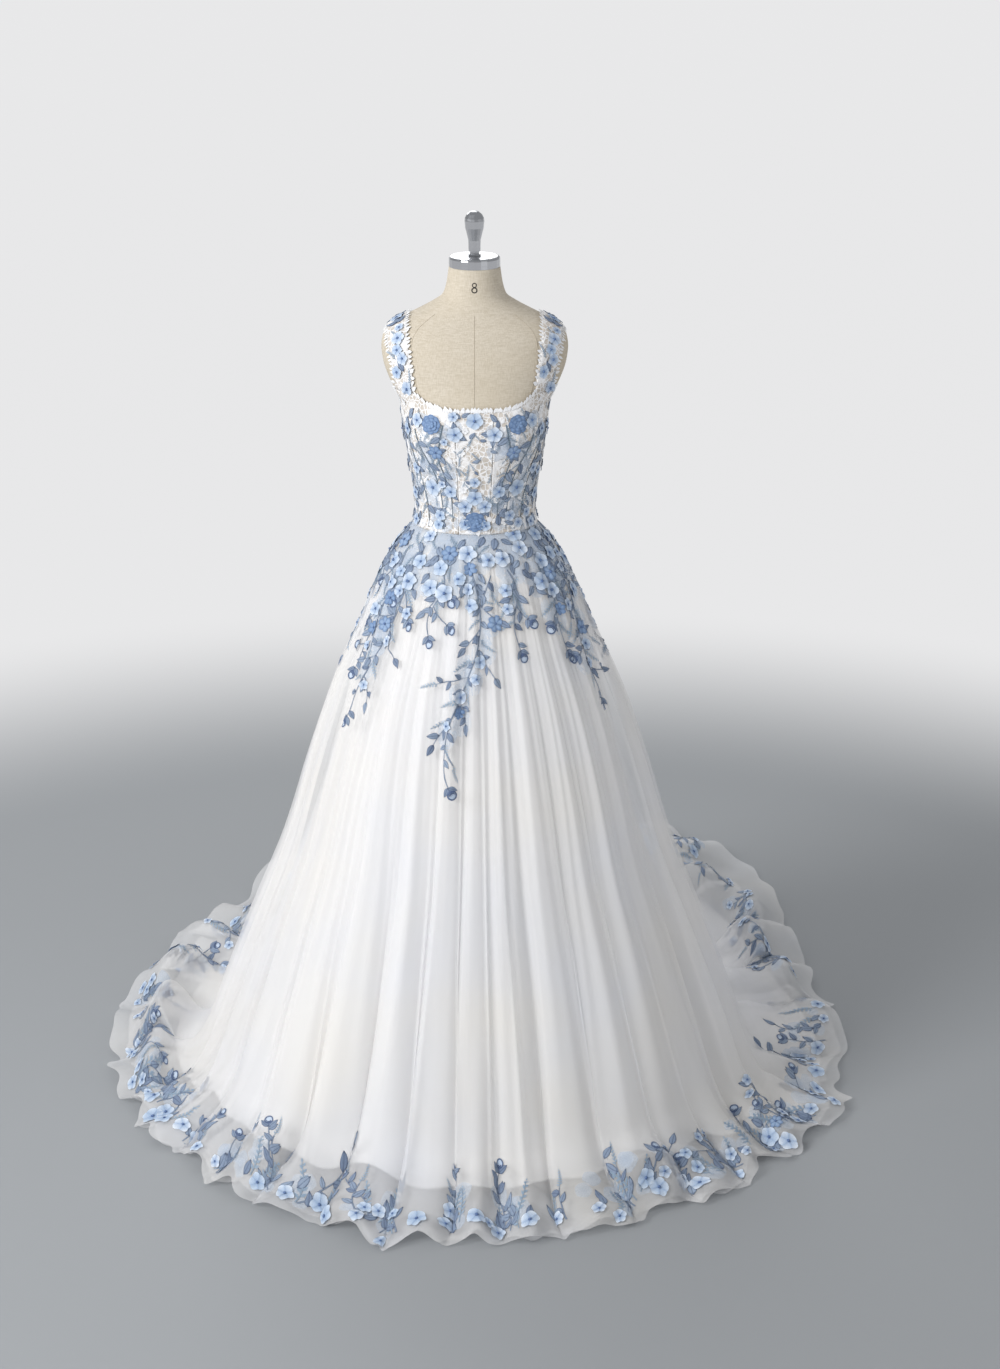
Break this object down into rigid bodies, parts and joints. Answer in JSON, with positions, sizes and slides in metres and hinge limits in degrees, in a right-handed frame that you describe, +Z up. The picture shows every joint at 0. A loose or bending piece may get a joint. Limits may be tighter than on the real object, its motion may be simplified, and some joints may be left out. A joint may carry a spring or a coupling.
{
  "type": "wedding dress on a dress form",
  "caption": "Sleeveless wedding dress with wide straps, a boned bodice, pale-blue applique flowers and a full tulle skirt with a train, on a limbless linen dress form.",
  "frame": {"origin": "On the floor, at the middle of the stand's round base, under the form's pole.", "axes": "+Z is up, -Y is the front of the dress, +X is the picture's right, and the train lies towards +Y."},
  "size_m": [1.4456, 2.01, 1.67],
  "materials": {
    "linen": "woven linen cover with seam lines",
    "chrome": "polished",
    "stand": "satin steel",
    "bodice": "net over a nude base with corded lace and applique",
    "tulle": "sheer tulle with printed and sewn applique",
    "lining": "opaque matt satin",
    "petal": "pale-blue chiffon petals with bead centres",
    "rose": "dark-blue rolled satin ribbon",
    "button": "satin-covered buttons"
  },
  "bodies": {
    "root": {"form_torso": "linen", "neck_cap": "chrome", "neck_knob": "chrome", "stand_pole": "stand", "stand_base": "stand", "bodice_front_center": "bodice", "bodice_front_left": "bodice", "bodice_front_right": "bodice", "bodice_side_left": "bodice", "bodice_side_right": "bodice", "bodice_back_left": "bodice", "bodice_back_right": "bodice", "strap_left": "bodice", "strap_right": "bodice", "back_placket": "bodice", "back_button_1": "button", "back_button_2": "button", "back_button_3": "button", "back_button_4": "button", "back_button_5": "button", "back_button_6": "button", "back_button_7": "button", "back_button_8": "button", "back_button_9": "button", "skirt_tulle_front": "tulle", "skirt_tulle_side_left": "tulle", "skirt_tulle_side_right": "tulle", "skirt_tulle_back_left": "tulle", "skirt_tulle_back_right": "tulle", "skirt_lining_front": "lining", "skirt_lining_back_left": "lining", "skirt_lining_back_right": "lining", "flower_rose_neck_left": "rose", "flower_rose_neck_right": "rose", "flower_rose_waist": "rose", "flower_bust_left": "petal", "flower_bust_right": "petal", "flower_rib_left": "petal", "flower_rib_right": "petal", "flower_back_left": "petal", "flower_back_right": "petal", "flower_hem_1": "petal", "flower_hem_2": "petal", "flower_hem_3": "petal", "flower_hem_4": "petal", "flower_hem_5": "petal", "flower_hem_6": "petal", "flower_hem_7": "petal", "flower_hem_8": "petal", "flower_hem_9": "petal", "flower_hem_10": "petal", "flower_hem_11": "petal", "flower_hem_12": "petal", "flower_hem_13": "petal", "flower_hem_14": "petal", "flower_waist_1": "petal", "flower_waist_2": "petal"}
  },
  "joints": []
}
